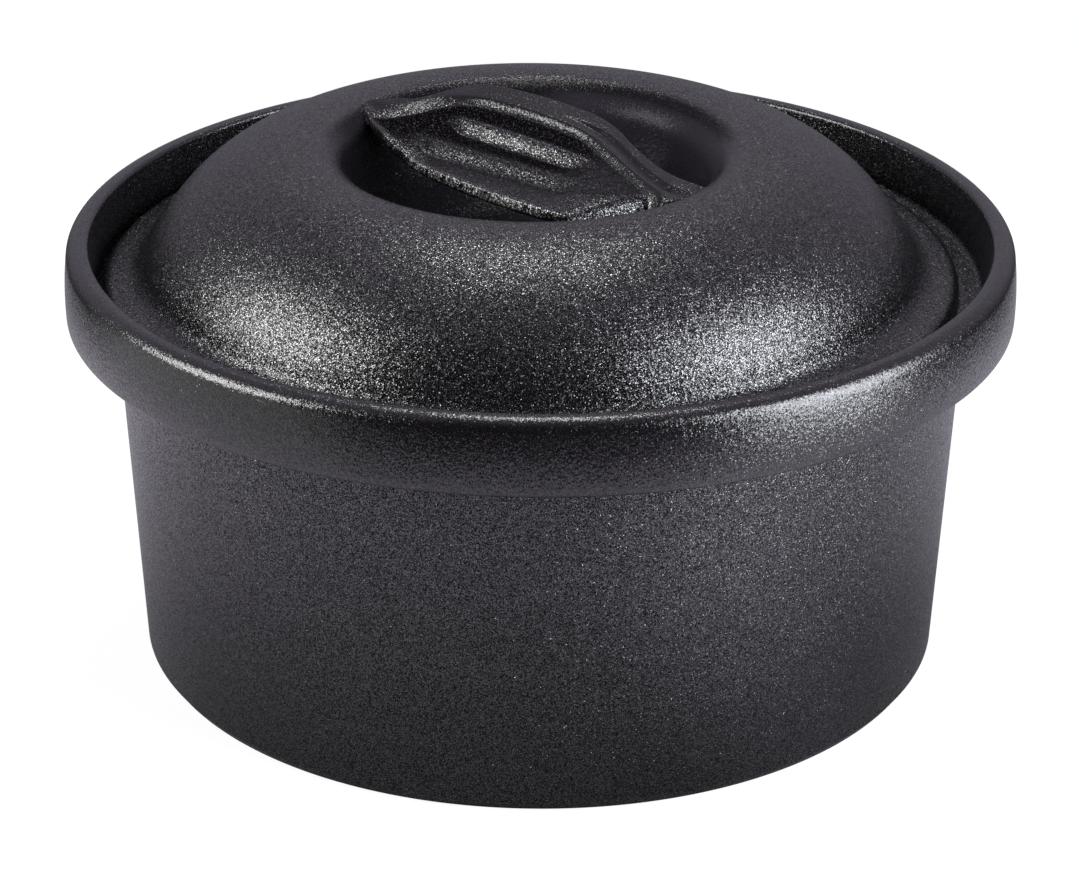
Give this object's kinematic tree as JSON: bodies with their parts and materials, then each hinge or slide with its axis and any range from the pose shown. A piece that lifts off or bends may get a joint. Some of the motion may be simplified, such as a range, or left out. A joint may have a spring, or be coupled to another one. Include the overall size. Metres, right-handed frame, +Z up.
{
  "type": "casserole dish",
  "caption": "Round deep casserole dish with a stepped collar and a lift-off domed lid, gripped by a leaf-shaped bridge across a finger recess.",
  "frame": {"origin": "centre of the flat base, on the surface that the dish stands on", "axes": "+Z up along the dish's axis, +X to the right and -Y towards the viewer of the picture"},
  "size_m": [0.23, 0.23, 0.1318],
  "materials": {
    "black_glaze": "matte black glaze with a fine sand texture"
  },
  "bodies": {
    "dish": {"dish": "black_glaze"},
    "lid": {"lid": "black_glaze"}
  },
  "joints": [
    {"name": "lid_lift", "type": "slide", "parent": "dish", "child": "lid", "axis": [0, 0, 1], "range_m": [0, 0.12]}
  ]
}
